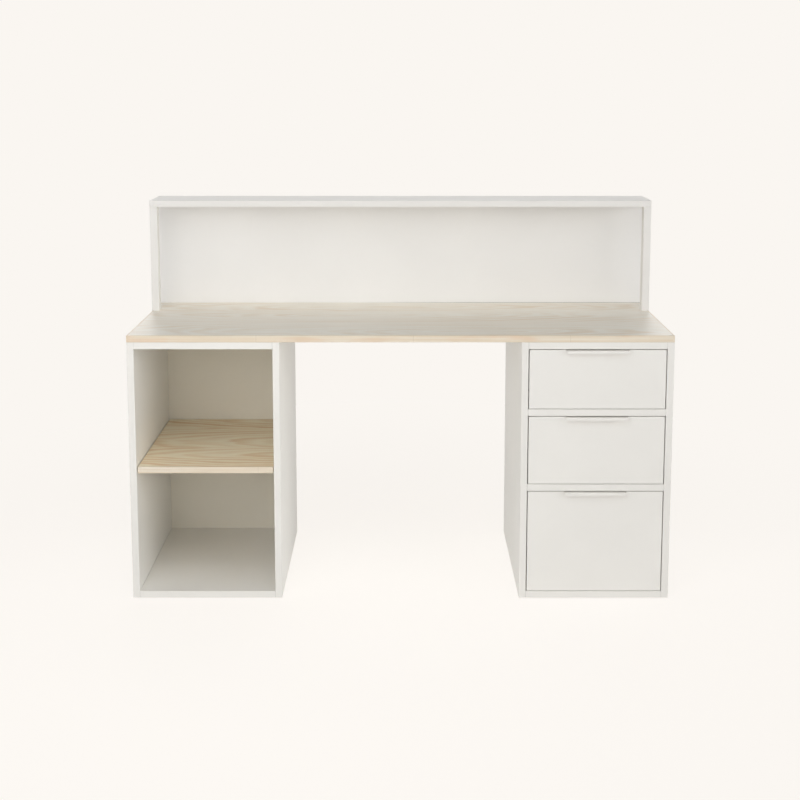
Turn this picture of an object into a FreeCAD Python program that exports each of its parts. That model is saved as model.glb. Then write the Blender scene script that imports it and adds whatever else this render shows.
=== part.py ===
import FreeCAD
import Part
import math
import os

# Student desk with a low hutch. A pine worktop lies on two white pedestals: an open one with a
# loose pine shelf on the left, and one with three inset drawers on telescopic runners on the right.
# Lengths are in millimetres. X runs to the right, Y to the back and Z up. The origin is on the
# floor, under the middle of the whole desk with its drawer pulls.

V = FreeCAD.Vector

# Worktop
WORKTOP_WIDTH = 1500.0
WORKTOP_DEPTH = 600.0
WORKTOP_THICK = 19.0
WORKTOP_EASE = 1.2
DESK_HEIGHT = 750.0

# Pedestal boards
PEDESTAL_WIDTH = 418.0
BOARD = 19.0
BOARD_EASE = 0.8
BACK_THICK = 5.0
BACK_INSET = 18.0
BACK_GROOVE_DEPTH = 8.0
GROOVE_CLEARANCE = 0.2
DIVIDER_BACK_GAP = 0.3

# Glides nailed under the pedestal sides
GLIDE_HEIGHT = 3.0
GLIDE_DIAMETER = 16.0
GLIDE_END_INSET = 25.0
GLIDE_NAIL_DIAMETER = 2.0
GLIDE_NAIL_LENGTH = 14.0

# Loose shelf and its pins
SHELF_THICK = 18.0
SHELF_EASE = 1.0
SHELF_CLEAR_UNDER = 339.0
SHELF_SIDE_GAP = 2.0
SHELF_SETBACK = 5.0
SHELF_BACK_GAP = 3.0
PIN_DIAMETER = 5.0
PIN_IN_SIDE = 9.0
PIN_SPADE_REACH = 12.0
PIN_SPADE_WIDTH = 10.0
PIN_SPADE_THICK = 6.0
PIN_END_INSET = 60.0

# Hutch
HUTCH_HEIGHT = 333.0
HUTCH_DEPTH = 175.0
HUTCH_TOP_THICK = 19.0
HUTCH_POST_WIDTH = 22.0
HUTCH_POST_DEPTH = 36.0
HUTCH_POST_PEG_INSET = 9.0
HUTCH_BACK_THICK = 16.0
HUTCH_BACK_PEG_SHARES = (0.04, 0.27, 0.5, 0.73, 0.96)

# Drawer openings, counted from the top. The lowest opening takes what is left.
UPPER_OPENING = 168.0
MIDDLE_OPENING = 194.0

# Drawer pull, a strip of sheet folded over the top edge of the front
PULL_WIDTH = 172.0
PULL_SHEET = 1.5
PULL_BEND = 1.2
PULL_PROJECTION = 12.0
PULL_LIP = 9.0
PULL_LEG = 16.0
PULL_RECESS = 2.5
PULL_END_CLEARANCE = 0.5

# Drawer fronts and boxes
FRONT_SIDE_GAP = 2.5
FRONT_TOP_GAP = 2.0
FRONT_BOTTOM_GAP = 1.5
BOX_WALL = 12.0
BOX_EASE = 0.6
BOX_FLOOR_GAP = 14.0
BOX_PULL_GAP = 13.0
BOX_REAR_GAP = 58.0
BOX_BOTTOM_THICK = 4.0
BOX_BOTTOM_RISE = 10.0
BOX_GROOVE_DEPTH = 6.0

# Telescopic runner, three nested channels. Each flange stops short of the web that it faces.
RUNNER_THICK = 12.7
RUNNER_HEIGHT = 45.0
RUNNER_SHEET = 1.2
RUNNER_CLEARANCE = 0.4
RUNNER_FLANGE_GAP = 1.2
RUNNER_RISE = 32.0
RUNNER_SETBACK = 2.0
RUNNER_SCREW_SHARES = (0.08, 0.5, 0.92)

# Wooden dowels
DOWEL_DIAMETER = 8.0
DOWEL_IN_BOARD = 20.0
DOWEL_FROM_CAM = 32.0
HUTCH_DOWEL_BITE = 22.0

# Cam fittings
CAM_DIAMETER = 15.0
CAM_PAST_BOLT = 1.5
CAM_REACH = 34.0
CAM_END_INSET = 50.0
BOLT_DIAMETER = 6.0
BOLT_THREAD_DIAMETER = 5.0

# Wood left past the end of a dowel, bolt or screw that stops inside a board
SIDE_COVER = 8.0
HUTCH_TOP_COVER = 7.0
WORKTOP_COVER = 7.0
FRONT_COVER = 5.0
PULL_SCREW_COVER = 7.0
RUNNER_SCREW_COVER = 3.0

# Screws
WORKTOP_SCREW_DIAMETER = 4.5
WORKTOP_SCREW_HEAD = 9.0
WORKTOP_SCREW_HEAD_HEIGHT = 3.0
WORKTOP_SCREW_SIDE_INSET = 62.0
WORKTOP_SCREW_END_INSET = 85.0
HUTCH_SCREW_DIAMETER = 4.0
HUTCH_SCREW_HEAD = 8.0
HUTCH_SCREW_HEAD_HEIGHT = 2.6
HUTCH_SCREW_BITE = 31.0
BOX_SCREW_DIAMETER = 3.5
BOX_SCREW_HEAD = 7.0
BOX_SCREW_HEAD_HEIGHT = 2.2
BOX_SCREW_BITE = 26.0
BOX_SCREW_INSET = 22.0
FRONT_SCREW_DIAMETER = 4.0
FRONT_SCREW_HEAD = 8.0
FRONT_SCREW_HEAD_HEIGHT = 2.6
FRONT_SCREW_SIDE_INSET = 70.0
FRONT_SCREW_END_INSET = 30.0
PULL_SCREW_DIAMETER = 3.0
PULL_SCREW_HEAD = 6.0
PULL_SCREW_HEAD_HEIGHT = 1.8
PULL_SCREW_END_INSET = 30.0
RUNNER_SCREW_DIAMETER = 3.5
RUNNER_SCREW_HEAD = 7.0
RUNNER_SCREW_HEAD_HEIGHT = 1.6
RUNNER_SCREW_HEAD_GAP = 0.6

# Fits
PEG_CLEARANCE = 0.1
HOLE_END_ROOM = 1.0
CUT_OVERRUN = 2.0

# Places worked out from the sizes above
FRONT_Y = (PULL_PROJECTION - WORKTOP_DEPTH) / 2
BACK_Y = FRONT_Y + WORKTOP_DEPTH
CARCASS_BOTTOM = GLIDE_HEIGHT
CARCASS_TOP = DESK_HEIGHT - WORKTOP_THICK
INSIDE_BOTTOM = CARCASS_BOTTOM + BOARD
INSIDE_TOP = CARCASS_TOP - BOARD
BACK_PANEL_Y = (BACK_Y - BACK_INSET - BACK_THICK, BACK_Y - BACK_INSET)
HUTCH_Y = (BACK_Y - HUTCH_DEPTH, BACK_Y)
HUTCH_TOP_Z = DESK_HEIGHT + HUTCH_HEIGHT
BOX_Y = (FRONT_Y + BOARD, BACK_PANEL_Y[0] - BOX_REAR_GAP)
PULL_TOP_DROP = PULL_RECESS - PULL_SHEET
BOX_HEADROOM = FRONT_TOP_GAP + PULL_TOP_DROP + PULL_LEG + BOX_PULL_GAP

X_AXIS = V(1, 0, 0)
Y_AXIS = V(0, 1, 0)
Z_AXIS = V(0, 0, 1)

pieces = {}
cutters = {}


def add(node, *solids):
    """Puts solids into a node."""
    pieces.setdefault(node, []).extend(solids)


def cut(node, *tools):
    """Keeps tools to be cut from a node when it is written."""
    cutters.setdefault(node, []).extend(tools)


def block(x, y, z):
    """Plain box between three (low, high) ranges."""
    corner = V(x[0], y[0], z[0])
    return Part.makeBox(x[1] - x[0], y[1] - y[0], z[1] - z[0], corner)


def board(x, y, z, ease):
    """Box whose twelve edges are eased, as a sanded and lacquered board has them."""
    solid = block(x, y, z)
    return solid.makeFillet(ease, solid.Edges)


def rod(start, way, diameter, length):
    """Round bar from a point along a direction."""
    return Part.makeCylinder(diameter / 2, length, start, way)


def hole(start, way, diameter, depth):
    """Cutter for a peg of that diameter, with the peg clearance and room past its end."""
    return rod(start, way, diameter + 2 * PEG_CLEARANCE, depth + HOLE_END_ROOM)


def between(span, inset):
    """The two places that lie an inset inside the ends of a (low, high) range."""
    return (span[0] + inset, span[1] - inset)


def grown(span, amount):
    """A (low, high) range made longer at both ends."""
    return (span[0] - amount, span[1] + amount)


def reach(start, length):
    """The (low, high) range from a place to that place plus a length of either sign."""
    return tuple(sorted((start, start + length)))


def screw(node, seat, way, size, holders, sunk=False):
    """Screw driven along way, with its head on the surface at seat or sunk into it.

    size is (diameter, length, head diameter, head height), and holders are the nodes that it
    goes through or into, the first one being under the head.
    """
    diameter, length, head_diameter, head_height = size
    shank = rod(seat, way, diameter, length)
    if sunk:
        head = Part.makeCone(head_diameter / 2, diameter / 2, head_height, seat, way)
        mouth = head_diameter / 2 + PEG_CLEARANCE
        throat = diameter / 2 + PEG_CLEARANCE
        cut(holders[0], Part.makeCone(mouth, throat, head_height, seat, way))
    else:
        head = rod(seat, way * -1, head_diameter, head_height)
    add(node, shank.fuse(head).removeSplitter())
    for holder in holders:
        cut(holder, hole(seat, way, diameter, length))


def board_joint(board_node, side_node, face_x, outward, z, cam_up):
    """Two dowels and two cam fittings between the end of a board and a pedestal side.

    They meet at face_x. outward is 1 where the side lies towards +X and -1 where it lies
    towards -X. z is the board's (low, high) range, and cam_up says which face takes the cams.
    """
    way = X_AXIS * outward
    middle = sum(z) / 2
    in_side = BOARD - SIDE_COVER
    bearing = (FRONT_Y, BACK_PANEL_Y[0])
    for cam_y, turn in zip(between(bearing, CAM_END_INSET), (1, -1)):
        face = V(face_x, cam_y + turn * DOWEL_FROM_CAM, middle)
        add("dowels", rod(face - way * DOWEL_IN_BOARD, way, DOWEL_DIAMETER, DOWEL_IN_BOARD + in_side))
        cut(board_node, hole(face, way * -1, DOWEL_DIAMETER, DOWEL_IN_BOARD))
        cut(side_node, hole(face, way, DOWEL_DIAMETER, in_side))
        cam_fitting(board_node, side_node, V(face_x, cam_y, middle), way, z, cam_up)


def cam_fitting(board_node, side_node, face, way, z, cam_up):
    """Bolt screwed into the side, and the cam in the board that draws it up."""
    in_side = BOARD - SIDE_COVER
    shaft = rod(face - way * CAM_REACH, way, BOLT_DIAMETER, CAM_REACH)
    thread = rod(face, way, BOLT_THREAD_DIAMETER, in_side)
    add("cam_bolts", shaft.fuse(thread).removeSplitter())
    cut(side_node, hole(face, way, BOLT_THREAD_DIAMETER, in_side))
    shaft_way = hole(face, way * -1, BOLT_DIAMETER, CAM_REACH)
    cut(board_node, shaft_way)

    inwards = Z_AXIS * (-1 if cam_up else 1)
    mouth = face - way * CAM_REACH
    mouth.z = z[1] if cam_up else z[0]
    height = (z[1] - z[0] + BOLT_DIAMETER) / 2
    cut(board_node, hole(mouth, inwards, CAM_DIAMETER, height + CAM_PAST_BOLT))
    cam = rod(mouth, inwards, CAM_DIAMETER, height + CAM_PAST_BOLT)
    add("cam_locks", cam.cut(shaft_way))


def glide(x, y):
    """Plastic glide with a nail that holds it in the end grain above."""
    disc = rod(V(x, y, 0), Z_AXIS, GLIDE_DIAMETER, GLIDE_HEIGHT)
    nail = rod(V(x, y, GLIDE_HEIGHT), Z_AXIS, GLIDE_NAIL_DIAMETER, GLIDE_NAIL_LENGTH)
    return disc.fuse(nail).removeSplitter()


def pedestal_side(node, x):
    """Full-height side board on two glides."""
    add(node, board(x, (FRONT_Y, BACK_Y), (CARCASS_BOTTOM, CARCASS_TOP), BOARD_EASE))
    middle = sum(x) / 2
    for y in between((FRONT_Y, BACK_Y), GLIDE_END_INSET):
        add("glides", glide(middle, y))
        foot = V(middle, y, CARCASS_BOTTOM)
        cut(node, hole(foot, Z_AXIS, GLIDE_NAIL_DIAMETER, GLIDE_NAIL_LENGTH))


def pedestal_back(name, inside):
    """Thin back held in a groove that runs round the sides, the top and the bottom."""
    groove_x = grown(inside, BACK_GROOVE_DEPTH)
    groove_z = grown((INSIDE_BOTTOM, INSIDE_TOP), BACK_GROOVE_DEPTH)
    groove = block(groove_x, grown(BACK_PANEL_Y, GROOVE_CLEARANCE), groove_z)
    for part in ("outer_side", "inner_side", "top", "bottom"):
        cut(f"{name}_{part}", groove)
    back_x = grown(groove_x, -GROOVE_CLEARANCE)
    back_z = grown(groove_z, -GROOVE_CLEARANCE)
    add(f"{name}_back", block(back_x, BACK_PANEL_Y, back_z))


def pedestal(name, outer_x, inwards, boards):
    """One pedestal: sides, the boards between them, the back and the screws to the worktop.

    outer_x is the plane of its outer side, and inwards is 1 where the desk's middle lies towards
    +X. boards gives each board's name, its (low, high) range in Z, whether its cams face up and
    whether it runs past the back. The (low, high) range in X between the sides is returned.
    """
    inner_x = outer_x + inwards * PEDESTAL_WIDTH
    pedestal_side(f"{name}_outer_side", reach(outer_x, inwards * BOARD))
    pedestal_side(f"{name}_inner_side", reach(inner_x, -inwards * BOARD))
    inside = tuple(sorted((outer_x + inwards * BOARD, inner_x - inwards * BOARD)))
    roles = ("outer", "inner") if inwards > 0 else ("inner", "outer")
    for part, z, cam_up, full_depth in boards:
        node = f"{name}_{part}"
        rear = BACK_Y if full_depth else BACK_PANEL_Y[0] - DIVIDER_BACK_GAP
        add(node, board(inside, (FRONT_Y, rear), z, BOARD_EASE))
        for role, face_x, outward in zip(roles, inside, (-1, 1)):
            board_joint(node, f"{name}_{role}_side", face_x, outward, z, cam_up)
    pedestal_back(name, inside)

    length = BOARD + WORKTOP_THICK - WORKTOP_COVER
    size = (WORKTOP_SCREW_DIAMETER, length, WORKTOP_SCREW_HEAD, WORKTOP_SCREW_HEAD_HEIGHT)
    for x in between(inside, WORKTOP_SCREW_SIDE_INSET):
        for y in between((FRONT_Y, BACK_Y), WORKTOP_SCREW_END_INSET):
            seat = V(x, y, INSIDE_TOP)
            screw("worktop_screws", seat, Z_AXIS, size, (f"{name}_top", "worktop"))
    return inside


def worktop():
    """Pine board that carries the hutch and lies on both pedestals."""
    half = WORKTOP_WIDTH / 2
    add("worktop", board((-half, half), (FRONT_Y, BACK_Y), (CARCASS_TOP, DESK_HEIGHT), WORKTOP_EASE))


def left_pedestal():
    """Open pedestal with a loose shelf on four pins."""
    boards = (
        ("top", (INSIDE_TOP, CARCASS_TOP), True, True),
        ("bottom", (CARCASS_BOTTOM, INSIDE_BOTTOM), False, True),
    )
    inside = pedestal("left_pedestal", -WORKTOP_WIDTH / 2, 1, boards)
    under = INSIDE_BOTTOM + SHELF_CLEAR_UNDER
    shelf_y = (FRONT_Y + SHELF_SETBACK, BACK_PANEL_Y[0] - SHELF_BACK_GAP)
    shelf_x = grown(inside, -SHELF_SIDE_GAP)
    add("left_shelf", board(shelf_x, shelf_y, (under, under + SHELF_THICK), SHELF_EASE))
    for role, face_x, way in (("outer", inside[0], 1), ("inner", inside[1], -1)):
        for y in between(shelf_y, PIN_END_INSET):
            shelf_pin(f"left_pedestal_{role}_side", V(face_x, y, under), way)


def shelf_pin(side_node, top, way):
    """Pin in a pedestal side, with a flat spade under the shelf that reaches way from the side."""
    centre = top - Z_AXIS * (PIN_SPADE_THICK / 2)
    pin = rod(centre, X_AXIS * -way, PIN_DIAMETER, PIN_IN_SIDE)
    spade_x = reach(top.x, way * PIN_SPADE_REACH)
    spade_y = grown((top.y, top.y), PIN_SPADE_WIDTH / 2)
    spade = block(spade_x, spade_y, (top.z - PIN_SPADE_THICK, top.z))
    add("shelf_pins", pin.fuse(spade).removeSplitter())
    cut(side_node, hole(centre, X_AXIS * -way, PIN_DIAMETER, PIN_IN_SIDE))


def right_pedestal():
    """Pedestal whose dividers leave three drawer openings. It returns its inside and the openings."""
    upper = (INSIDE_TOP - UPPER_OPENING, INSIDE_TOP)
    upper_divider = reach(upper[0], -BOARD)
    middle = reach(upper_divider[0], -MIDDLE_OPENING)
    lower_divider = reach(middle[0], -BOARD)
    lower = (INSIDE_BOTTOM, lower_divider[0])
    boards = (
        ("top", (INSIDE_TOP, CARCASS_TOP), True, True),
        ("upper_divider", upper_divider, False, False),
        ("lower_divider", lower_divider, False, False),
        ("bottom", (CARCASS_BOTTOM, INSIDE_BOTTOM), False, True),
    )
    inside = pedestal("right_pedestal", WORKTOP_WIDTH / 2, -1, boards)
    return inside, {"upper": upper, "middle": middle, "lower": lower}


def hutch():
    """Low hutch at the back of the worktop: a top on two front posts and on a back board."""
    half = WORKTOP_WIDTH / 2
    top_z = (HUTCH_TOP_Z - HUTCH_TOP_THICK, HUTCH_TOP_Z)
    under_z = (DESK_HEIGHT, top_z[0])
    add("hutch_top", board((-half, half), HUTCH_Y, top_z, BOARD_EASE))

    post_y = reach(HUTCH_Y[0], HUTCH_POST_DEPTH)
    for side, end_x, inwards in (("left", -half, 1), ("right", half, -1)):
        node = f"hutch_{side}_post"
        post_x = reach(end_x, inwards * HUTCH_POST_WIDTH)
        add(node, board(post_x, post_y, under_z, BOARD_EASE))
        for y in between(post_y, HUTCH_POST_PEG_INSET):
            hutch_peg(node, sum(post_x) / 2, y, under_z[1])

    back_y = reach(BACK_Y, -HUTCH_BACK_THICK)
    add("hutch_back", board((-half, half), back_y, under_z, BOARD_EASE))
    for share in HUTCH_BACK_PEG_SHARES:
        hutch_peg("hutch_back", (share - 1 / 2) * WORKTOP_WIDTH, sum(back_y) / 2, under_z[1])


def hutch_peg(node, x, y, joint_z):
    """Dowel from a post or the back up into the hutch's top, and a screw up into it from below."""
    in_top = HUTCH_TOP_THICK - HUTCH_TOP_COVER
    joint = V(x, y, joint_z)
    start = joint - Z_AXIS * HUTCH_DOWEL_BITE
    add("dowels", rod(start, Z_AXIS, DOWEL_DIAMETER, HUTCH_DOWEL_BITE + in_top))
    cut(node, hole(joint, Z_AXIS * -1, DOWEL_DIAMETER, HUTCH_DOWEL_BITE))
    cut("hutch_top", hole(joint, Z_AXIS, DOWEL_DIAMETER, in_top))
    size = (HUTCH_SCREW_DIAMETER, WORKTOP_THICK + HUTCH_SCREW_BITE, HUTCH_SCREW_HEAD,
            HUTCH_SCREW_HEAD_HEIGHT)
    screw("hutch_screws", V(x, y, CARCASS_TOP), Z_AXIS, size, ("worktop", node), sunk=True)


def channel(web, flange, y, z):
    """Folded channel: a web that starts at x = web, and two flanges as long as flange, with its sign."""
    sheet = math.copysign(RUNNER_SHEET, flange)
    profile = block(reach(web, sheet), y, z)
    for edge_z in (reach(z[0], RUNNER_SHEET), reach(z[1], -RUNNER_SHEET)):
        profile = profile.fuse(block(reach(web, flange), y, edge_z))
    return profile.removeSplitter()


def runner(name, side_node, box_node, side_x, way, box_bottom):
    """One telescopic runner from the pedestal side at side_x to the drawer box, way inwards."""
    z = reach(box_bottom + RUNNER_RISE, RUNNER_HEIGHT)
    y = (BOX_Y[0] + RUNNER_SETBACK, BOX_Y[1])
    nest = RUNNER_SHEET + RUNNER_CLEARANCE
    middle_in = RUNNER_SHEET + RUNNER_SCREW_HEAD_HEIGHT + RUNNER_SCREW_HEAD_GAP
    overlap = RUNNER_THICK - middle_in - RUNNER_SHEET - RUNNER_FLANGE_GAP
    middle_x = side_x + way * middle_in
    box_x = side_x + way * RUNNER_THICK
    cabinet = channel(side_x, way * (RUNNER_THICK - RUNNER_FLANGE_GAP), y, z)
    add(f"{name}_cabinet_runners", cabinet)
    add(f"{name}_middle_runners", channel(middle_x, way * overlap, y, grown(z, -nest)))
    add(f"{name}_box_runners", channel(box_x, -way * overlap, y, grown(z, -2 * nest)))

    length = RUNNER_SHEET + BOX_WALL - RUNNER_SCREW_COVER
    size = (RUNNER_SCREW_DIAMETER, length, RUNNER_SCREW_HEAD, RUNNER_SCREW_HEAD_HEIGHT)
    for share in RUNNER_SCREW_SHARES:
        place = y[0] + share * (y[1] - y[0])
        seat = V(side_x + way * RUNNER_SHEET, place, sum(z) / 2)
        screw("runner_screws", seat, X_AXIS * -way, size, (f"{name}_cabinet_runners", side_node))
        seat = V(box_x - way * RUNNER_SHEET, place, sum(z) / 2)
        screw(f"{name}_screws", seat, X_AXIS * way, size, (f"{name}_box_runners", box_node))


def drawer_pull(name, middle_x, front_top):
    """Strip folded over the front's top edge: a lip before it, a flange in a recess, a leg behind."""
    x = grown((middle_x, middle_x), PULL_WIDTH / 2)
    top = front_top - PULL_TOP_DROP
    lip_y = FRONT_Y - PULL_PROJECTION
    leg_y = FRONT_Y + BOARD + PULL_SHEET
    outline = (
        (lip_y, top - PULL_LIP),
        (lip_y, top),
        (leg_y, top),
        (leg_y, top - PULL_LEG),
        (leg_y - PULL_SHEET, top - PULL_LEG),
        (leg_y - PULL_SHEET, top - PULL_SHEET),
        (lip_y + PULL_SHEET, top - PULL_SHEET),
        (lip_y + PULL_SHEET, top - PULL_LIP),
    )
    corners = [V(x[0], y, z) for y, z in outline]
    strip = Part.Face(Part.makePolygon(corners + corners[:1])).extrude(X_AXIS * PULL_WIDTH)
    folds = [edge for edge in strip.Edges if is_fold(edge, (lip_y, leg_y), top)]
    add(f"{name}_pull", strip.makeFillet(PULL_BEND, folds))
    recess_y = grown((FRONT_Y, FRONT_Y + BOARD), CUT_OVERRUN)
    recess_z = (front_top - PULL_RECESS, front_top + CUT_OVERRUN)
    cut(f"{name}_front", block(grown(x, PULL_END_CLEARANCE), recess_y, recess_z))

    length = PULL_SHEET + BOARD - PULL_SCREW_COVER
    size = (PULL_SCREW_DIAMETER, length, PULL_SCREW_HEAD, PULL_SCREW_HEAD_HEIGHT)
    for place in between(x, PULL_SCREW_END_INSET):
        seat = V(place, leg_y, top - (PULL_SHEET + PULL_LEG) / 2)
        screw(f"{name}_screws", seat, Y_AXIS * -1, size, (f"{name}_pull", f"{name}_front"))


def is_fold(edge, folds_y, top):
    """Whether an edge is one of the strip's outer fold lines, along X at its top."""
    ends = [vertex.Point for vertex in edge.Vertexes]
    return any(all(math.isclose(p.y, y) and math.isclose(p.z, top) for p in ends) for y in folds_y)


def drawer(name, inside, opening):
    """One drawer: front with its pull, box of four walls on a bottom, screws and two runners."""
    front_x = grown(inside, -FRONT_SIDE_GAP)
    front_z = (opening[0] + FRONT_BOTTOM_GAP, opening[1] - FRONT_TOP_GAP)
    add(f"{name}_front", board(front_x, reach(FRONT_Y, BOARD), front_z, BOARD_EASE))
    drawer_pull(name, sum(inside) / 2, front_z[1])

    box_x = grown(inside, -RUNNER_THICK)
    box_z = (opening[0] + BOX_FLOOR_GAP, opening[1] - BOX_HEADROOM)
    bay_x = grown(box_x, -BOX_WALL)
    bottom_z = reach(box_z[0] + BOX_BOTTOM_RISE, BOX_BOTTOM_THICK)
    front_wall_y = reach(BOX_Y[0], BOX_WALL)
    back_wall_y = reach(BOX_Y[1], -BOX_WALL)
    add(f"{name}_left_side", board((box_x[0], bay_x[0]), BOX_Y, box_z, BOX_EASE))
    add(f"{name}_right_side", board((bay_x[1], box_x[1]), BOX_Y, box_z, BOX_EASE))
    add(f"{name}_box_front", board(bay_x, front_wall_y, box_z, BOX_EASE))
    add(f"{name}_box_back", board(bay_x, back_wall_y, (bottom_z[1], box_z[1]), BOX_EASE))

    groove_x = grown(bay_x, BOX_GROOVE_DEPTH)
    groove_y = (front_wall_y[1] - BOX_GROOVE_DEPTH, BOX_Y[1] + CUT_OVERRUN)
    groove = block(groove_x, groove_y, grown(bottom_z, GROOVE_CLEARANCE))
    for part in ("left_side", "right_side", "box_front"):
        cut(f"{name}_{part}", groove)
    bottom_y = (groove_y[0] + GROOVE_CLEARANCE, BOX_Y[1])
    add(f"{name}_bottom", block(grown(groove_x, -GROOVE_CLEARANCE), bottom_y, bottom_z))

    fix_box(name, box_x, bay_x, box_z, (front_wall_y, back_wall_y))
    for side, role, side_x, way in (("left", "inner", inside[0], 1), ("right", "outer", inside[1], -1)):
        runner(name, f"right_pedestal_{role}_side", f"{name}_{side}_side", side_x, way, box_z[0])


def fix_box(name, box_x, bay_x, box_z, ends_y):
    """Screws at the four corners of a drawer box, and those that hold its front."""
    node = f"{name}_screws"
    size = (BOX_SCREW_DIAMETER, BOX_WALL + BOX_SCREW_BITE, BOX_SCREW_HEAD, BOX_SCREW_HEAD_HEIGHT)
    for side, x, way in (("left", box_x[0], 1), ("right", box_x[1], -1)):
        for end, y in zip(("box_front", "box_back"), ends_y):
            for z in between(box_z, BOX_SCREW_INSET):
                holders = (f"{name}_{side}_side", f"{name}_{end}")
                screw(node, V(x, sum(y) / 2, z), X_AXIS * way, size, holders, sunk=True)

    length = BOX_WALL + BOARD - FRONT_COVER
    size = (FRONT_SCREW_DIAMETER, length, FRONT_SCREW_HEAD, FRONT_SCREW_HEAD_HEIGHT)
    for x in between(bay_x, FRONT_SCREW_SIDE_INSET):
        for z in between(box_z, FRONT_SCREW_END_INSET):
            seat = V(x, ends_y[0][1], z)
            screw(node, seat, Y_AXIS * -1, size, (f"{name}_box_front", f"{name}_front"))


def write_parts():
    """Cuts the holes, grooves and recesses of each node and writes it to a file of its own."""
    os.makedirs("parts", exist_ok=True)
    for node, solids in pieces.items():
        tools = cutters.get(node)
        if tools:
            solids = [part for solid in solids for part in solid.cut(tools).Solids]
        shape = solids[0] if len(solids) == 1 else Part.makeCompound(solids)
        shape.exportStep(f"parts/{node}.step")


worktop()
left_pedestal()
drawer_bay, drawer_openings = right_pedestal()
for level, level_opening in drawer_openings.items():
    drawer(f"{level}_drawer", drawer_bay, level_opening)
hutch()
write_parts()
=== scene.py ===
import math

import bpy
import numpy as np
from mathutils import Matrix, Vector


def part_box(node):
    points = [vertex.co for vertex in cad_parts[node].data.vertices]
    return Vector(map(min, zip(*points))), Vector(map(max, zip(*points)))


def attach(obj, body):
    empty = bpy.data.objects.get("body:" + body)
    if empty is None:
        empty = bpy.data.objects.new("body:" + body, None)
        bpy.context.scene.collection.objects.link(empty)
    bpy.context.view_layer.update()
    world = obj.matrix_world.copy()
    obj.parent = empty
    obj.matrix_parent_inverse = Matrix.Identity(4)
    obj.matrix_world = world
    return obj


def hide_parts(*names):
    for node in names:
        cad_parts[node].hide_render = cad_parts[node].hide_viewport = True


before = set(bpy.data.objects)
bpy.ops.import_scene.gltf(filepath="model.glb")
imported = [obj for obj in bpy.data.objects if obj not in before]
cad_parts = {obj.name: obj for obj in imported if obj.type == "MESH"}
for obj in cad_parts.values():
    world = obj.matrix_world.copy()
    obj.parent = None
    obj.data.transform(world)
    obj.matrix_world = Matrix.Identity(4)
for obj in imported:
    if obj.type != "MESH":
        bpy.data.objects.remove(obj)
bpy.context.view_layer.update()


# Pedestal boards: sides, tops, dividers and bottoms of 19 mm particle board with eased edges.
# They carry a satin white lacquer, rolled on, and a thin band of a warmer white on the front edges.
# Dowels and cam fittings hold them together, let in where the worktop and the floor hide them.
class Layer:
    """One socket of a finish's node tree. Sums, products and remainders of layers add Math nodes."""

    def __init__(self, tree, socket):
        self.tree = tree
        self.socket = socket

    def node(self, kind, settings, sockets, out=0):
        """Any other node: its settings are set first, then the values or links of its sockets."""
        node = self.tree.nodes.new(kind)
        for name, value in settings.items():
            setattr(node, name, value)
        for key, value in sockets.items():
            if isinstance(value, Layer):
                self.tree.links.new(value.socket, node.inputs[key])
            else:
                node.inputs[key].default_value = value
        return Layer(self.tree, node.outputs[out])

    def maths(self, operation, *others):
        """A Math node on this layer and others."""
        return self.node("ShaderNodeMath", {"operation": operation}, dict(enumerate((self, *others))))

    def __add__(self, other):
        return self.maths("ADD", other)

    def __sub__(self, other):
        return self.maths("SUBTRACT", other)

    def __rsub__(self, other):
        return self.maths("MULTIPLY_ADD", -1.0, other)

    def __mul__(self, other):
        return self.maths("MULTIPLY", other)

    def __truediv__(self, other):
        return self.maths("DIVIDE", other)

    def __mod__(self, other):
        return self.maths("FLOORED_MODULO", other)

    def __abs__(self):
        return self.maths("ABSOLUTE")

    __radd__ = __add__
    __rmul__ = __mul__

    def floor(self):
        return self.maths("FLOOR")

    def rise(self, low, high):
        """Smooth step from 0 at low to 1 at high."""
        settings = {"interpolation_type": "SMOOTHSTEP"}
        return self.node("ShaderNodeMapRange", settings, {"Value": self, 1: low, 2: high})

    def axes(self):
        """The three numbers of a place."""
        return [self.node("ShaderNodeSeparateXYZ", {}, {0: self}, out=axis) for axis in range(3)]

    def stretched(self, x, y, z, start=0.0):
        """A place scaled by x, y and z, with the pattern's start moved along."""
        sockets = {"Vector": self, "Location": (start, start, start), "Scale": (x, y, z)}
        return self.node("ShaderNodeMapping", {}, sockets)

    def cloud(self, scale, detail=2.0):
        """Noise from 0 to 1 at a place, with so many patches per metre."""
        sockets = {"Vector": self, "Scale": scale, "Detail": detail}
        return self.node("ShaderNodeTexNoise", {}, sockets)

    def chance(self):
        """A number from 0 to 1 that is another one for each whole number."""
        return self.node("ShaderNodeTexWhiteNoise", {"noise_dimensions": "1D"}, {"W": self})

    def between(self, low, high):
        """The colour between two colours, low at 0 and high at 1."""
        settings = {"data_type": "RGBA"}
        return self.node("ShaderNodeMix", settings, {0: self, 6: low, 7: high}, out=2)

    def raised(self, height, depth):
        """The surface normal over a relief: height at 1, and depth as its strength."""
        sockets = {"Height": self, "Distance": height, "Strength": depth}
        self.node("ShaderNodeBump", {}, sockets).feeds("Normal")

    def feeds(self, name):
        """Lead this layer to one of the shader's sockets."""
        self.tree.links.new(self.socket, self.tree.nodes["Principled BSDF"].inputs[name])


def new_finish(name, **constants):
    """An empty finish with the shader's constants set, and the place on the piece to draw it from."""
    material = bpy.data.materials.new(name)
    material.use_nodes = True
    tree = material.node_tree
    for socket, value in constants.items():
        tree.nodes["Principled BSDF"].inputs[socket.replace("_", " ")].default_value = value
    return material, Layer(tree, tree.nodes.new("ShaderNodeTexCoord").outputs["Object"])


def swatch(red, green, blue, level=1.0):
    """Linear colour of an sRGB swatch, times a level."""
    shares = np.array((red, green, blue)) / 255
    linear = np.where(shares <= 0.04045, shares / 12.92, ((shares + 0.055) / 1.055) ** 2.4)
    return (*(linear * level), 1.0)


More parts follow.
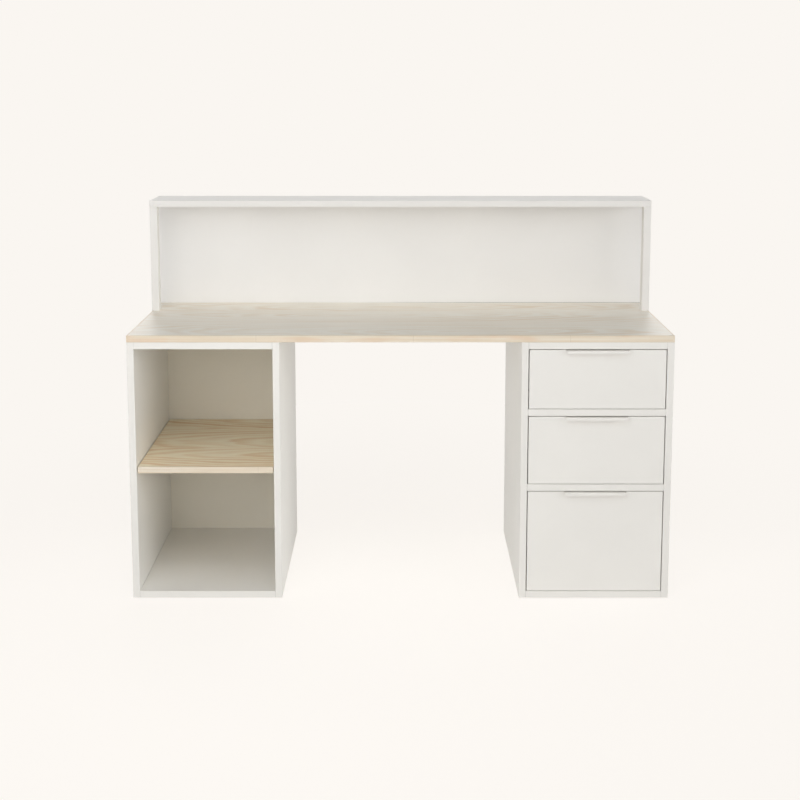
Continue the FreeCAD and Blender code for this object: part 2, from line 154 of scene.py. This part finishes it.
def dress(material, *nodes):
    """Put a finish in every slot of CAD nodes that keep their own shape."""
    for node in nodes:
        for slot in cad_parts[node].material_slots:
            slot.material = material


BOARD_WHITE = (247, 246, 242)
BAND_WHITE = (240, 238, 233)
MOTTLE = (0.985, 1.01)
FRONT_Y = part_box("left_pedestal_top")[0].y
EDGE_BAND = 0.0012
BAND_STEP = 0.0001
BAND_LINE = 0.00025
JOINT_LINE = 0.0007
# The foot line is painted shade where a board stands on the worktop; the joint lines are the boards'
# own dark seams.
FOOT_SHADE = 0.0018
JOINT_AND_SHADE_DARK = 0.4
FOOT_SHADE_SHUT, FOOT_SHADE_OPEN = -0.2, 0.25


def lacquer(name, colour, band=None, joints=None, foot=None, dull=0.34):
    """Rolled lacquer: a faint mottle in its white, dull and bright drifts, and a fine orange peel.

    Where a band is glued on the front edge, it has its own white and a hair line at its joint.
    Boards that butt against the sides have a dark line at both ends, at two distances from the middle.
    A board that stands on the worktop has a painted shade line at its foot, the shadow where it meets
    the worktop, which opens towards the right.
    """
    material, place = new_finish(name)
    mottle = place.cloud(4.0, detail=4.0).rise(0.3, 0.7)
    white = mottle.between(*(swatch(*colour, level) for level in MOTTLE))
    if band:
        behind = place.axes()[1] - (FRONT_Y + EDGE_BAND)
        tape = mottle.between(*(swatch(*band, level) for level in MOTTLE))
        white = behind.rise(-BAND_STEP, BAND_STEP).between(tape, white)
        line = 1 - abs(behind).rise(0.0, BAND_LINE)
        white = (line * 0.35).between(white, swatch(*band, 0.6))
    if joints:
        inner, outer = joints
        end = abs(abs(place.axes()[0]) - (inner + outer) / 2)
        reach = (outer - inner) / 2
        line = end.rise(reach - JOINT_LINE, reach - JOINT_LINE / 2)
        white = (line * 0.8).between(white, swatch(*colour, JOINT_AND_SHADE_DARK))
    # Painted shade: a dark line along the board's foot where it meets the worktop, fading in towards
    # the right.
    if foot:
        x, _, z = place.axes()
        line = 1 - z.rise(foot + FOOT_SHADE * 0.8, foot + FOOT_SHADE)
        white = (line * x.rise(FOOT_SHADE_SHUT, FOOT_SHADE_OPEN) * 0.75).between(white, swatch(*colour, JOINT_AND_SHADE_DARK))
    white.feeds("Base Color")
    (place.cloud(18.0, detail=3.0) * 0.14 + dull).feeds("Roughness")
    place.cloud(520.0, detail=1.0).raised(height=0.00012, depth=0.25)
    return material


board_lacquer = lacquer("board_lacquer", BOARD_WHITE, BAND_WHITE)
low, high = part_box("right_pedestal_top")
rail_lacquer = lacquer("rail_lacquer", BOARD_WHITE, BAND_WHITE, joints=(low.x, high.x))
for pedestal in ("left", "right"):
    dress(board_lacquer, f"{pedestal}_pedestal_outer_side", f"{pedestal}_pedestal_inner_side")
    dress(rail_lacquer, f"{pedestal}_pedestal_top", f"{pedestal}_pedestal_bottom")
dress(rail_lacquer, "right_pedestal_upper_divider", "right_pedestal_lower_divider")


# Pedestal backs: thin hardboard, painted white on the face and let into grooves.
# The paint is matt and shows the faint screen texture of pressed fibre.
back_paint, place = new_finish("back_paint")
fibre = place.stretched(1.0, 1.0, 0.45).cloud(900.0, detail=2.0)
mottle = place.cloud(3.0, detail=4.0).rise(0.3, 0.7)
# Its cream tint and lightness are partly painted light: the warm light bounced from the pine shelf, and
# light that makes up for the shade inside the pedestals.
mottle.between(swatch(243, 238, 224), swatch(247, 242, 229)).feeds("Base Color")
(place.cloud(30.0, detail=2.0) * 0.12 + 0.5).feeds("Roughness")
fibre.raised(height=0.00015, depth=0.3)
dress(back_paint, "left_pedestal_back", "right_pedestal_back")


# Board fittings: fluted beech dowels, zinc-plated bolts and screws, and die-cast cam locks.
# All are sunk in the boards, and show only from below, from behind and inside the open drawers.
LEVELS = ("upper", "middle", "lower")
beech, place = new_finish("dowel_beech")
streak = place.stretched(40.0, 400.0, 400.0).cloud(1.0, detail=3.0)
streak.between(swatch(205, 170, 128), swatch(226, 196, 156)).feeds("Base Color")
(streak * 0.2 + 0.5).feeds("Roughness")
streak.raised(height=0.0002, depth=0.4)
dress(beech, "dowels")


def plating(name, pale, dark, dull):
    """Plated steel: clouded crystals in its grey, fine drawn scratches, and duller patches."""
    material, place = new_finish(name, Metallic=1.0)
    crystals = place.cloud(90.0, detail=3.0).rise(0.3, 0.7)
    crystals.between(swatch(*dark), swatch(*pale)).feeds("Base Color")
    (place.cloud(40.0, detail=3.0) * 0.16 + dull).feeds("Roughness")
    place.stretched(1500.0, 20.0, 1500.0).cloud(1.0, detail=2.0).raised(height=0.00003, depth=0.08)
    return material


screw_zinc = plating("screw_zinc", (205, 206, 204), (176, 178, 178), 0.22)
dress(screw_zinc, "cam_bolts", "worktop_screws", "hutch_screws", "runner_screws", "shelf_pins")
dress(screw_zinc, *(f"{level}_drawer_screws" for level in LEVELS))
dress(plating("cam_casting", (176, 177, 175), (140, 142, 142), 0.4), "cam_locks")


# Floor glides: round pads of pale plastic, pinned under the corners of both pedestals.
# They are moulded with a fine spark-eroded texture and scuff a little where they stand.
glide_plastic, place = new_finish("glide_plastic")
scuff = place.cloud(160.0, detail=4.0).rise(0.4, 0.7)
scuff.between(swatch(196, 194, 188), swatch(214, 212, 206)).feeds("Base Color")
(scuff * 0.15 + 0.45).feeds("Roughness")
place.cloud(1500.0, detail=1.0).raised(height=0.0001, depth=0.3)
dress(glide_plastic, "glides")


# Left shelf: a loose pine board on four pins, its face of crown-cut leaves laid side by side.
# The front edge has a paler solid lipping, and clear lacquer covers the whole.
LEAF = 0.236
HEART_SPREAD = 1.6
HEART_ASIDE = 0.1
LEAST_LEAN, LEAN_SPREAD = 0.1, 0.08
SIDE_WANDER, DEPTH_WANDER = 0.04, 0.06
RING_SWAY = 0.6
LIPPING = 0.005
LIP_STEP = 0.0002
LIP_BLOCK = 0.43
LIP_JOINT = (0.0003, 0.0007)
LIP_START = 0.18
LIP_PALE, LIP_DARK, LIP_RUDDY = (235, 225, 208), (227, 211, 187), (226, 196, 166)


def pine_leaves(place, first, ring_width, early, late):
    """Crown-cut pine: growth rings round a heart that leans through the face of each leaf.

    A ring is the distance from the heart, aside and in depth, over the ring's width. The heart
    wanders, so that the rings meet the face in flames. Each year darkens softly and then fades, as
    strongly as its own chance says. A leaf's lean, and where its heart lies, are its own chances.
    """
    x, y, _ = place.axes()
    leaf = ((y + first) / LEAF).floor()
    lean, start, aside = ((leaf * 3 + count + 7).chance() for count in range(3))
    wander = place.stretched(3.4, 13.0, 3.0, first).cloud(1.0, detail=2.0) - 0.5
    sway = place.stretched(9.0, 40.0, 9.0, first).cloud(1.0, detail=2.0) - 0.5
    side = y + first - (leaf + 0.5) * LEAF + (aside - 0.5) * HEART_ASIDE + wander * SIDE_WANDER
    along = x - start * HEART_SPREAD + HEART_SPREAD / 2
    depth = along * (lean * LEAN_SPREAD + LEAST_LEAN) + wander * DEPTH_WANDER
    ring = (side * side + depth * depth).maths("SQRT") / ring_width + sway * RING_SWAY
    year = ring % 1.0
    dark = year.rise(0.0, 0.62) * (1 - year.rise(0.66, 1.0))
    strong = ((ring - year) + leaf * 31).chance() * 0.6 + 0.4
    fibre = place.stretched(9.0, 620.0, 620.0).cloud(1.0, detail=3.0)
    drift = place.stretched(1.6, 9.0, 3.0, first).cloud(1.0, detail=2.0)
    pale = fibre.rise(0.3, 0.7).between(swatch(*early, 0.95), swatch(*early, 1.03))
    grain = dark * strong * (drift.rise(0.3, 0.6) * 0.7 + 0.3) + drift.rise(0.45, 0.75) * 0.22
    return grain.between(pale, swatch(*late)), grain, fibre


def pine_lipping(place, along, grain_scale):
    """Solid lipping in blocks: straight grain, ruddy patches, and a tone and a joint line for each."""
    block = (along / LIP_BLOCK).floor()
    tone = (block + 3).chance()
    grain = place.stretched(*grain_scale).cloud(1.0, detail=3.0)
    patch = place.stretched(7.0, 7.0, 40.0, 0.6).cloud(1.0, detail=2.0).rise(0.52, 0.72)
    body = grain.rise(0.35, 0.7).between(swatch(*LIP_PALE), swatch(*LIP_DARK))
    body = (patch * 0.6).between(body, swatch(*LIP_RUDDY))
    body = (tone * 0.3).between(body, swatch(*LIP_DARK))
    joint = 1 - abs(along % LIP_BLOCK - LIP_BLOCK / 2).rise(*LIP_JOINT)
    return (joint * 0.5).between(body, swatch(*LIP_DARK, 0.7))


def pine(name, node, first, ring_width, early, late, dull, ends=False):
    """The leaves on the faces, lipping on the front and where asked on the ends, and one relief."""
    low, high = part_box(node)
    material, place = new_finish(name)
    x, y, _ = place.axes()
    tone, grain, fibre = pine_leaves(place, first, ring_width, early, late)
    front = 1 - y.rise(low.y + LIPPING, low.y + LIPPING + LIP_STEP)
    tone = front.between(tone, pine_lipping(place, x + LIP_START, (3.0, 60.0, 240.0)))
    if ends:
        end = abs(x).rise(high.x - LIPPING, high.x - LIPPING + LIP_STEP)
        tone = end.between(tone, pine_lipping(place, y, (60.0, 3.0, 240.0)))
    tone.feeds("Base Color")
    (fibre * 0.1 + dull).feeds("Roughness")
    (grain * 0.5 + fibre).raised(height=0.0001, depth=0.2)
    dress(material, node)


# Its pale pine is partly the wood's own tone and partly painted light, raised to make up for the shade
# inside the pedestal.
pine("shelf_pine", "left_shelf", first=0.546, ring_width=0.021,
     early=(255, 243, 215), late=(230, 196, 150), dull=0.4)


# Drawer boxes: 12 mm particle board wrapped in white foil, screwed at the corners.
# The bottoms are thin white hardboard, slid into grooves from behind.
BOX_WALLS = ("left_side", "right_side", "box_front", "box_back")
box_foil, place = new_finish("box_foil")
weave = place.cloud(260.0, detail=2.0)
place.cloud(5.0, detail=3.0).between(swatch(234, 231, 225), swatch(240, 237, 231)).feeds("Base Color")
(weave * 0.16 + 0.42).feeds("Roughness")
weave.raised(height=0.00012, depth=0.25)
bottom_board, place = new_finish("bottom_board")
felted = place.stretched(1.0, 0.4, 1.0).cloud(700.0, detail=3.0)
felted.between(swatch(230, 226, 219), swatch(238, 235, 228)).feeds("Base Color")
(felted * 0.14 + 0.5).feeds("Roughness")
felted.raised(height=0.00012, depth=0.3)
for level in LEVELS:
    dress(box_foil, *(f"{level}_drawer_{wall}" for wall in BOX_WALLS))
    dress(bottom_board, f"{level}_drawer_bottom")


# Runners: three nested members of zinc-plated sheet on each side of a drawer, rolled to shape.
# The outer member is screwed to the pedestal, the inner one to the box, and the middle one floats.
RUNNER_SHEET = 0.0012
RUNNER_BEND = 0.0016
RUNNER_EASE = 0.0003
SMOOTH_TURN, CUT_TURN = math.radians(30), math.radians(50)
runner_zinc = plating("runner_zinc", (208, 210, 210), (193, 196, 197), 0.26)


def folded_sheet(corners, sheet, bend, steps=5):
    """Both faces of a folded sheet, seen end on: straight runs, and an arc at each corner.

    An arc's centre lies on the line that halves the corner. Its points are the centre plus the
    arc's first radius times a cosine, plus the way that it starts times a sine. The faces stand
    half the sheet to each side of that line.
    """
    corners = np.array(corners, float)
    ways = np.diff(corners, axis=0)
    ways /= np.linalg.norm(ways, axis=1)[:, None]
    before, after = ways[:-1], ways[1:]
    turn = np.arccos(np.clip((before * after).sum(1), -1, 1))
    halving = (after - before) / np.linalg.norm(after - before, axis=1)[:, None]
    centre = corners[1:-1] + halving * (bend / np.cos(turn / 2))[:, None]
    radius = corners[1:-1] - before * (bend * np.tan(turn / 2))[:, None] - centre
    angle = turn[:, None, None] * np.linspace(0, 1, steps + 1)[None, :, None]
    arcs = centre[:, None] + radius[:, None] * np.cos(angle) + before[:, None] * bend * np.sin(angle)
    heading = before[:, None] * np.cos(angle) - radius[:, None] / bend * np.sin(angle)
    line = np.vstack((corners[:1], arcs.reshape(-1, 2), corners[-1:]))
    heading = np.vstack((ways[:1], heading.reshape(-1, 2), ways[-1:]))
    aside = np.column_stack((-heading[:, 1], heading[:, 0])) * sheet / 2
    return line + aside, line - aside


def carried(faces, ends, axis):
    """A closed strip: the two faces of a sheet, seen end on, carried straight from end to end.

    Each face is a grid of its points by the two ends. The edges and the ends join the two faces.
    The outline runs the way round that turns all of them outwards, by the sign of its area.
    """
    outline = np.vstack((faces[0], faces[1][::-1]))
    across, up = outline.T
    area = (across * np.roll(up, -1) - up * np.roll(across, -1)).sum()
    if (area < 0) != (axis == 1):
        outline = outline[::-1]
    count = len(outline)
    verts = np.insert(np.tile(outline, (2, 1)), axis, np.repeat(ends, count), axis=1)
    ring = np.arange(count)
    after = np.roll(ring, -1)
    around = np.column_stack((ring, after, after + count, ring + count))
    half = np.arange(count // 2 - 1)
    cap = np.column_stack((half, count - 1 - half, count - 2 - half, half + 1))
    return verts, np.vstack((around, cap, cap[:, ::-1] + count))


def piece(node, name, strips, material, body, bevel):
    """One mesh of closed strips in place of a CAD node, with a fine bevel along its cut edges."""
    starts = np.cumsum([0] + [len(verts) for verts, _ in strips])
    verts = np.vstack([verts for verts, _ in strips])
    faces = np.vstack([faces + start for (_, faces), start in zip(strips, starts)])
    mesh = bpy.data.meshes.new(name)
    mesh.from_pydata(verts, [], faces)
    mesh.polygons.foreach_set("use_smooth", np.ones(len(faces), bool))
    mesh.set_sharp_from_angle(angle=SMOOTH_TURN)
    mesh.materials.append(material)
    thing = bpy.data.objects.new(name, mesh)
    bpy.context.scene.collection.objects.link(thing)
    edge = thing.modifiers.new("cut_edge", "BEVEL")
    edge.width = bevel
    edge.segments = 2
    edge.limit_method = "ANGLE"
    edge.angle_limit = CUT_TURN
    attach(thing, body)
    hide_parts(node)


def rolled_member(node, body, box, web, flange, half_height, lip):
    """Lipped channel on both sides of a drawer.

    Its web and the ends of its flanges lie so far from the pedestal side, and its lips end so far
    from its middle line.
    """
    low, high = box
    middle = (low.z + high.z) / 2
    fold = half_height - RUNNER_SHEET / 2
    strips = []
    for side, way in ((low.x, 1), (high.x, -1)):
        corners = [(flange, -lip), (flange, -fold), (web, -fold),
                   (web, fold), (flange, fold), (flange, lip)]
        corners = [(side + way * across, middle + up) for across, up in corners]
        strips.append(carried(folded_sheet(corners, RUNNER_SHEET, RUNNER_BEND), (low.y, high.y), 1))
    piece(node, f"{node}_rolled", strips, runner_zinc, body, RUNNER_EASE)


for level in LEVELS:
    drawer = f"{level}_drawer"
    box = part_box(f"{drawer}_cabinet_runners")
    rolled_member(f"{drawer}_cabinet_runners", "desk", box,
                  web=0.0006, flange=0.0109, half_height=0.0225, lip=0.0196)
    rolled_member(f"{drawer}_middle_runners", f"{level}_runner", box,
                  web=0.0040, flange=0.0097, half_height=0.0188, lip=0.0164)
    rolled_member(f"{drawer}_box_runners", drawer, box,
                  web=0.0121, flange=0.0058, half_height=0.0159, lip=0.0132)


# Drawer fronts: inset boards with the pedestals' lacquer, each with a shallow notch for its pull.
# Screws through the box hold them from inside.
FRONT_WHITE = (242, 240, 235)
front_lacquer = lacquer("front_lacquer", FRONT_WHITE)
dress(front_lacquer, *(f"{level}_drawer_front" for level in LEVELS))


# Drawer pulls: strips of 1.5 mm sheet, folded over the top edge of each front and screwed behind it.
# Powder paint in the boards' white gives them a fine, even grain.
PULL_SHEET = 0.0015
PULL_BEND = 0.0012
PULL_LIP = 0.009
PULL_EASE = 0.0004
pull_powder, place = new_finish("pull_powder")
grain = place.cloud(1400.0, detail=2.0)
grain.between(swatch(236, 233, 228), swatch(243, 240, 235)).feeds("Base Color")
(grain * 0.14 + 0.36).feeds("Roughness")
grain.raised(height=0.00008, depth=0.35)
for level in LEVELS:
    node = f"{level}_drawer_pull"
    low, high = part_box(node)
    half = PULL_SHEET / 2
    corners = [(low.y + half, high.z - PULL_LIP), (low.y + half, high.z - half),
               (high.y - half, high.z - half), (high.y - half, low.z)]
    strip = carried(folded_sheet(corners, PULL_SHEET, PULL_BEND), (low.x, high.x), 0)
    piece(node, f"{node}_strip", [strip], pull_powder, f"{level}_drawer", PULL_EASE)


# Worktop: one pine board across both pedestals, of the same leaves, lipped along its front and ends.
# Its pine is paler than the shelf's, nearly white: partly the wood's own tone and partly painted light,
# standing in for light from above and the white sheen at a low angle. It has the same clear lacquer,
# and screws from below hold it.
pine("worktop_pine", "worktop", first=0.345, ring_width=0.018,
     early=(253, 248, 236), late=(239, 225, 203), dull=0.37, ends=True)


# Hutch: a long top on two slender front posts and on a back board, all of lacquered board.
# Dowels set the top in place, and screws from under the worktop hold the posts and the back.
# The top and posts have a greyer white than the back: painted shade that holds down their lit front
# edges. The back's paler white is painted light against the shade under the top.
HUTCH_DARKENED_WHITE = (237, 235, 231)
HUTCH_BACK_LIGHTENED_WHITE = (241, 240, 238)
hutch_lacquer = lacquer("hutch_lacquer", HUTCH_DARKENED_WHITE, dull=0.5)
dress(hutch_lacquer, "hutch_top", "hutch_left_post", "hutch_right_post")
hutch_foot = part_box("hutch_back")[0].z
# The back board's finish carries a painted shade line at its foot, where it stands on the worktop.
dress(lacquer("hutch_back_lacquer", HUTCH_BACK_LIGHTENED_WHITE, foot=hutch_foot), "hutch_back")


# Floor: one pale sheet under the desk, which runs out into a background of the same colour.
# The camera and mirrors see that colour, a little darker where the desk's shadow falls.
BACKDROP_WHITE = (250, 246, 241)
BACKDROP = swatch(*BACKDROP_WHITE)
FLOOR_REACH = 20
GLOW, SHADED_SHARE = 0.88, 0.22
SHADOW_FULL, SHADOW_GONE = 1.0, 2.2
floor_mesh = bpy.data.meshes.new("floor")
floor_corners = [(x * FLOOR_REACH, y * FLOOR_REACH, 0) for x, y in ((-1, -1), (1, -1), (1, 1), (-1, 1))]
floor_mesh.from_pydata(floor_corners, [], [(0, 1, 2, 3)])
floor = bpy.data.objects.new("floor", floor_mesh)
bpy.context.scene.collection.objects.link(floor)


def seen(start):
    """1 for a ray from the camera, a mirror or glass, and 0 for a ray that lights something."""
    camera, glossy, glass = (start.node("ShaderNodeLightPath", {}, {}, out=f"Is {ray} Ray")
                             for ray in ("Camera", "Glossy", "Transmission"))
    return (camera + glossy + glass).maths("MINIMUM", 1.0)


floor_sheet, place = new_finish("floor_sheet")
floor_mesh.materials.append(floor_sheet)
paper = place.node("ShaderNodeBsdfDiffuse", {}, {"Color": swatch(244, 241, 237)})
shaded = place.node("ShaderNodeBsdfDiffuse", {}, {"Color": swatch(*BACKDROP_WHITE, SHADED_SHARE)})
glow = place.node("ShaderNodeEmission", {}, {"Color": BACKDROP, "Strength": GLOW})
plain = place.node("ShaderNodeEmission", {}, {"Color": BACKDROP, "Strength": 1.0})
near = place.node("ShaderNodeAddShader", {}, {0: shaded, 1: glow})
away = place.node("ShaderNodeVectorMath", {"operation": "LENGTH"}, {0: place}, out="Value")
faded = away.rise(SHADOW_FULL, SHADOW_GONE)
picture = place.node("ShaderNodeMixShader", {}, {0: faded, 1: near, 2: plain})
whole = place.node("ShaderNodeMixShader", {}, {0: seen(place), 1: paper, 2: picture})
output = floor_sheet.node_tree.nodes["Material Output"]
floor_sheet.node_tree.links.new(whole.socket, output.inputs["Surface"])


# Light: an even pale room with broad soft lamps round the desk, all turned to its middle.
# The right one is the strongest. Two small ones stand near to light the shelves, one lights the
# left end, and three stand behind.
ROOM_LEVEL = 0.15
AIM_HEIGHT = 0.6
world = bpy.data.worlds.new("room")
bpy.context.scene.world = world
world.use_nodes = True
room = Layer(world.node_tree, world.node_tree.nodes["Background"].outputs[0])
shown = seen(room)
light = room.node("ShaderNodeBackground", {}, {"Color": (1.0, 1.0, 1.0, 1.0), "Strength": ROOM_LEVEL})
screen = room.node("ShaderNodeBackground", {}, {"Color": BACKDROP, "Strength": 1.0})
both = room.node("ShaderNodeMixShader", {}, {0: shown, 1: light, 2: screen})
world.node_tree.links.new(both.socket, world.node_tree.nodes["World Output"].inputs["Surface"])


def lamp(name, bearing, height, distance, width, power, tall=None):
    """Soft lamp turned to the desk's middle, square or as tall as asked.

    It stands on a sphere round that middle, by its bearing from the front and its height in degrees.
    """
    bearing, height = math.radians(bearing), math.radians(height)
    data = bpy.data.lights.new(name, "AREA")
    data.shape = "RECTANGLE"
    data.size = width
    data.size_y = tall or width
    data.energy = power
    thing = bpy.data.objects.new(name, data)
    away, above = distance * math.cos(height), distance * math.sin(height)
    thing.location = (away * math.sin(bearing), -away * math.cos(bearing), AIM_HEIGHT + above)
    thing.rotation_euler = (math.pi / 2 - height, 0, bearing)
    bpy.context.scene.collection.objects.link(thing)


lamp("right_lamp", bearing=56, height=11, distance=10.0, width=9.0, power=325, tall=4.4)
lamp("right_front_lamp", bearing=25, height=10, distance=10.0, width=4.0, power=45)
lamp("left_lamp", bearing=-42, height=10, distance=10.0, width=4.0, power=70)
lamp("front_lamp", bearing=0, height=8, distance=9.0, width=3.0, power=36)
lamp("near_lamp", bearing=-26, height=12, distance=3.0, width=1.3, power=14)
lamp("high_lamp", bearing=-9, height=41, distance=3.0, width=1.3, power=12)
lamp("top_lamp", bearing=0, height=65, distance=8.0, width=4.0, power=62)
lamp("left_end_lamp", bearing=-95, height=12, distance=10.0, width=8.0, power=80, tall=4.0)
lamp("back_left_lamp", bearing=-140, height=25, distance=10.0, width=4.0, power=28)
lamp("back_lamp", bearing=180, height=25, distance=10.0, width=8.0, power=225, tall=4.4)
lamp("back_right_lamp", bearing=140, height=25, distance=10.0, width=4.0, power=20)
bpy.context.scene.view_settings.view_transform = "Standard"


# Camera: before the middle of the desk, a little above the hutch, looking slightly down.
# Its lens is shifted down, which keeps the uprights near to upright in the picture.
CAMERA_PLACE = (-0.0014, -4.204, 1.45)
CAMERA_PITCH = 8.59
lens = bpy.data.cameras.new("camera")
lens.sensor_width = 36.0
lens.lens = 65.42
lens.shift_y = -0.13
camera = bpy.data.objects.new("camera", lens)
camera.location = CAMERA_PLACE
camera.rotation_euler = (math.radians(90 - CAMERA_PITCH), 0, 0)
bpy.context.scene.collection.objects.link(camera)
bpy.context.scene.camera = camera
